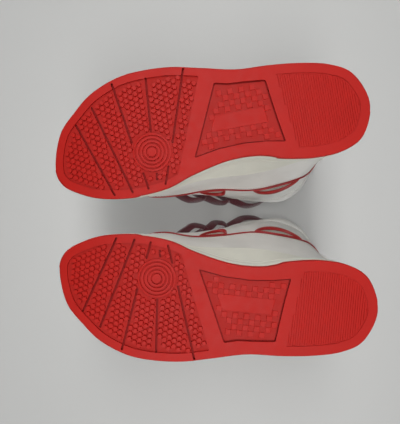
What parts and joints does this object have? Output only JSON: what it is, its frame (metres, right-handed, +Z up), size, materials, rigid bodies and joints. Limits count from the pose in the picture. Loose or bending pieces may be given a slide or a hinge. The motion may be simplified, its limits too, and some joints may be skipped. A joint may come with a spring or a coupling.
{
  "type": "boxing boots",
  "caption": "Pair of low lace-up boxing boots with flat moulded rubber soles, leather uppers, piping and mesh vents",
  "frame": {"origin": "on the ground under the middle of the pair", "axes": "+Z up, toes toward -Y, left boot on the +X side"},
  "size_m": [0.2644, 0.2886, 0.1743],
  "materials": {
    "outsole_rubber": "moulded satin",
    "midsole_foam": "satin moulded foam",
    "board": "matt fibre board",
    "sockliner_cloth": "knitted",
    "white_leather": "smooth grain",
    "upper_leather": "smooth grain",
    "overlay_leather": "smooth grain",
    "lining_cloth": "brushed knit",
    "collar_foam": "foam",
    "tongue_leather": "soft grain",
    "red_piping": "satin",
    "red_leather": "satin",
    "mesh": "open mesh",
    "red_webbing": "woven webbing",
    "eyelet_metal": "satin",
    "lace_cloth": "satin woven",
    "lace_tip": "gloss"
  },
  "bodies": {
    "left_boot": {"outsole_left": "outsole_rubber", "midsole_left": "midsole_foam", "insole_board_left": "board", "sockliner_left": "sockliner_cloth", "lower_panel_left": "white_leather", "upper_panel_left": "upper_leather", "arch_wing_left": "midsole_foam", "heel_cup_left": "overlay_leather", "eyestay_lateral_left": "overlay_leather", "eyestay_medial_left": "overlay_leather", "lining_left": "lining_cloth", "collar_pad_left": "collar_foam", "piping_left": "red_piping", "vent_rims_left": "red_leather", "vent_mesh_left": "mesh", "backstay_left": "red_leather", "eyelets_left": "eyelet_metal", "laces_left": "lace_cloth", "lace_tips_left": "lace_tip"},
    "left_toe": {"toe_cap_left": "overlay_leather"},
    "left_tongue": {"tongue_left": "tongue_leather"},
    "left_pull_tab": {"pull_tab_left": "red_webbing"},
    "right_boot": {"outsole_right": "outsole_rubber", "midsole_right": "midsole_foam", "insole_board_right": "board", "sockliner_right": "sockliner_cloth", "lower_panel_right": "white_leather", "upper_panel_right": "upper_leather", "arch_wing_right": "midsole_foam", "heel_cup_right": "overlay_leather", "eyestay_lateral_right": "overlay_leather", "eyestay_medial_right": "overlay_leather", "lining_right": "lining_cloth", "collar_pad_right": "collar_foam", "piping_right": "red_piping", "vent_rims_right": "red_leather", "vent_mesh_right": "mesh", "backstay_right": "red_leather", "eyelets_right": "eyelet_metal", "laces_right": "lace_cloth", "lace_tips_right": "lace_tip"},
    "right_toe": {"toe_cap_right": "overlay_leather"},
    "right_tongue": {"tongue_right": "tongue_leather"},
    "right_pull_tab": {"pull_tab_right": "red_webbing"}
  },
  "joints": [
    {"name": "boots_apart", "type": "slide", "parent": "left_boot", "child": "right_boot", "axis": [-1, 0, 0], "range_m": [0, 0.25]},
    {"name": "toe_flex_left", "type": "hinge", "parent": "left_boot", "child": "left_toe", "pos_m": [0.07243, -0.05993, 0.008], "axis": [-0.9905, 0.1374, 0], "range_deg": [0, 30], "stiffness_Nm_per_rad": 1.5, "deforming": ["outsole_left", "midsole_left", "insole_board_left", "sockliner_left", "lower_panel_left", "lining_left", "piping_left"]},
    {"name": "tongue_tilt_left", "type": "hinge", "parent": "left_boot", "child": "left_tongue", "pos_m": [0.04701, -0.06852, 0.057], "axis": [-0.9905, 0.1374, 0], "range_deg": [0, 10]},
    {"name": "pull_tab_fold_left", "type": "hinge", "parent": "left_boot", "child": "left_pull_tab", "pos_m": [0.06955, 0.13471, 0.138], "axis": [-0.9905, 0.1374, 0], "range_deg": [0, 60]},
    {"name": "toe_flex_right", "type": "hinge", "parent": "right_boot", "child": "right_toe", "pos_m": [-0.07243, -0.05993, 0.008], "axis": [-0.9905, -0.1374, 0], "range_deg": [0, 30], "stiffness_Nm_per_rad": 1.5, "deforming": ["outsole_right", "midsole_right", "insole_board_right", "sockliner_right", "lower_panel_right", "lining_right", "piping_right"]},
    {"name": "tongue_tilt_right", "type": "hinge", "parent": "right_boot", "child": "right_tongue", "pos_m": [-0.04701, -0.06852, 0.057], "axis": [-0.9905, -0.1374, 0], "range_deg": [0, 10]},
    {"name": "pull_tab_fold_right", "type": "hinge", "parent": "right_boot", "child": "right_pull_tab", "pos_m": [-0.06955, 0.13471, 0.138], "axis": [-0.9905, -0.1374, 0], "range_deg": [0, 60]}
  ]
}
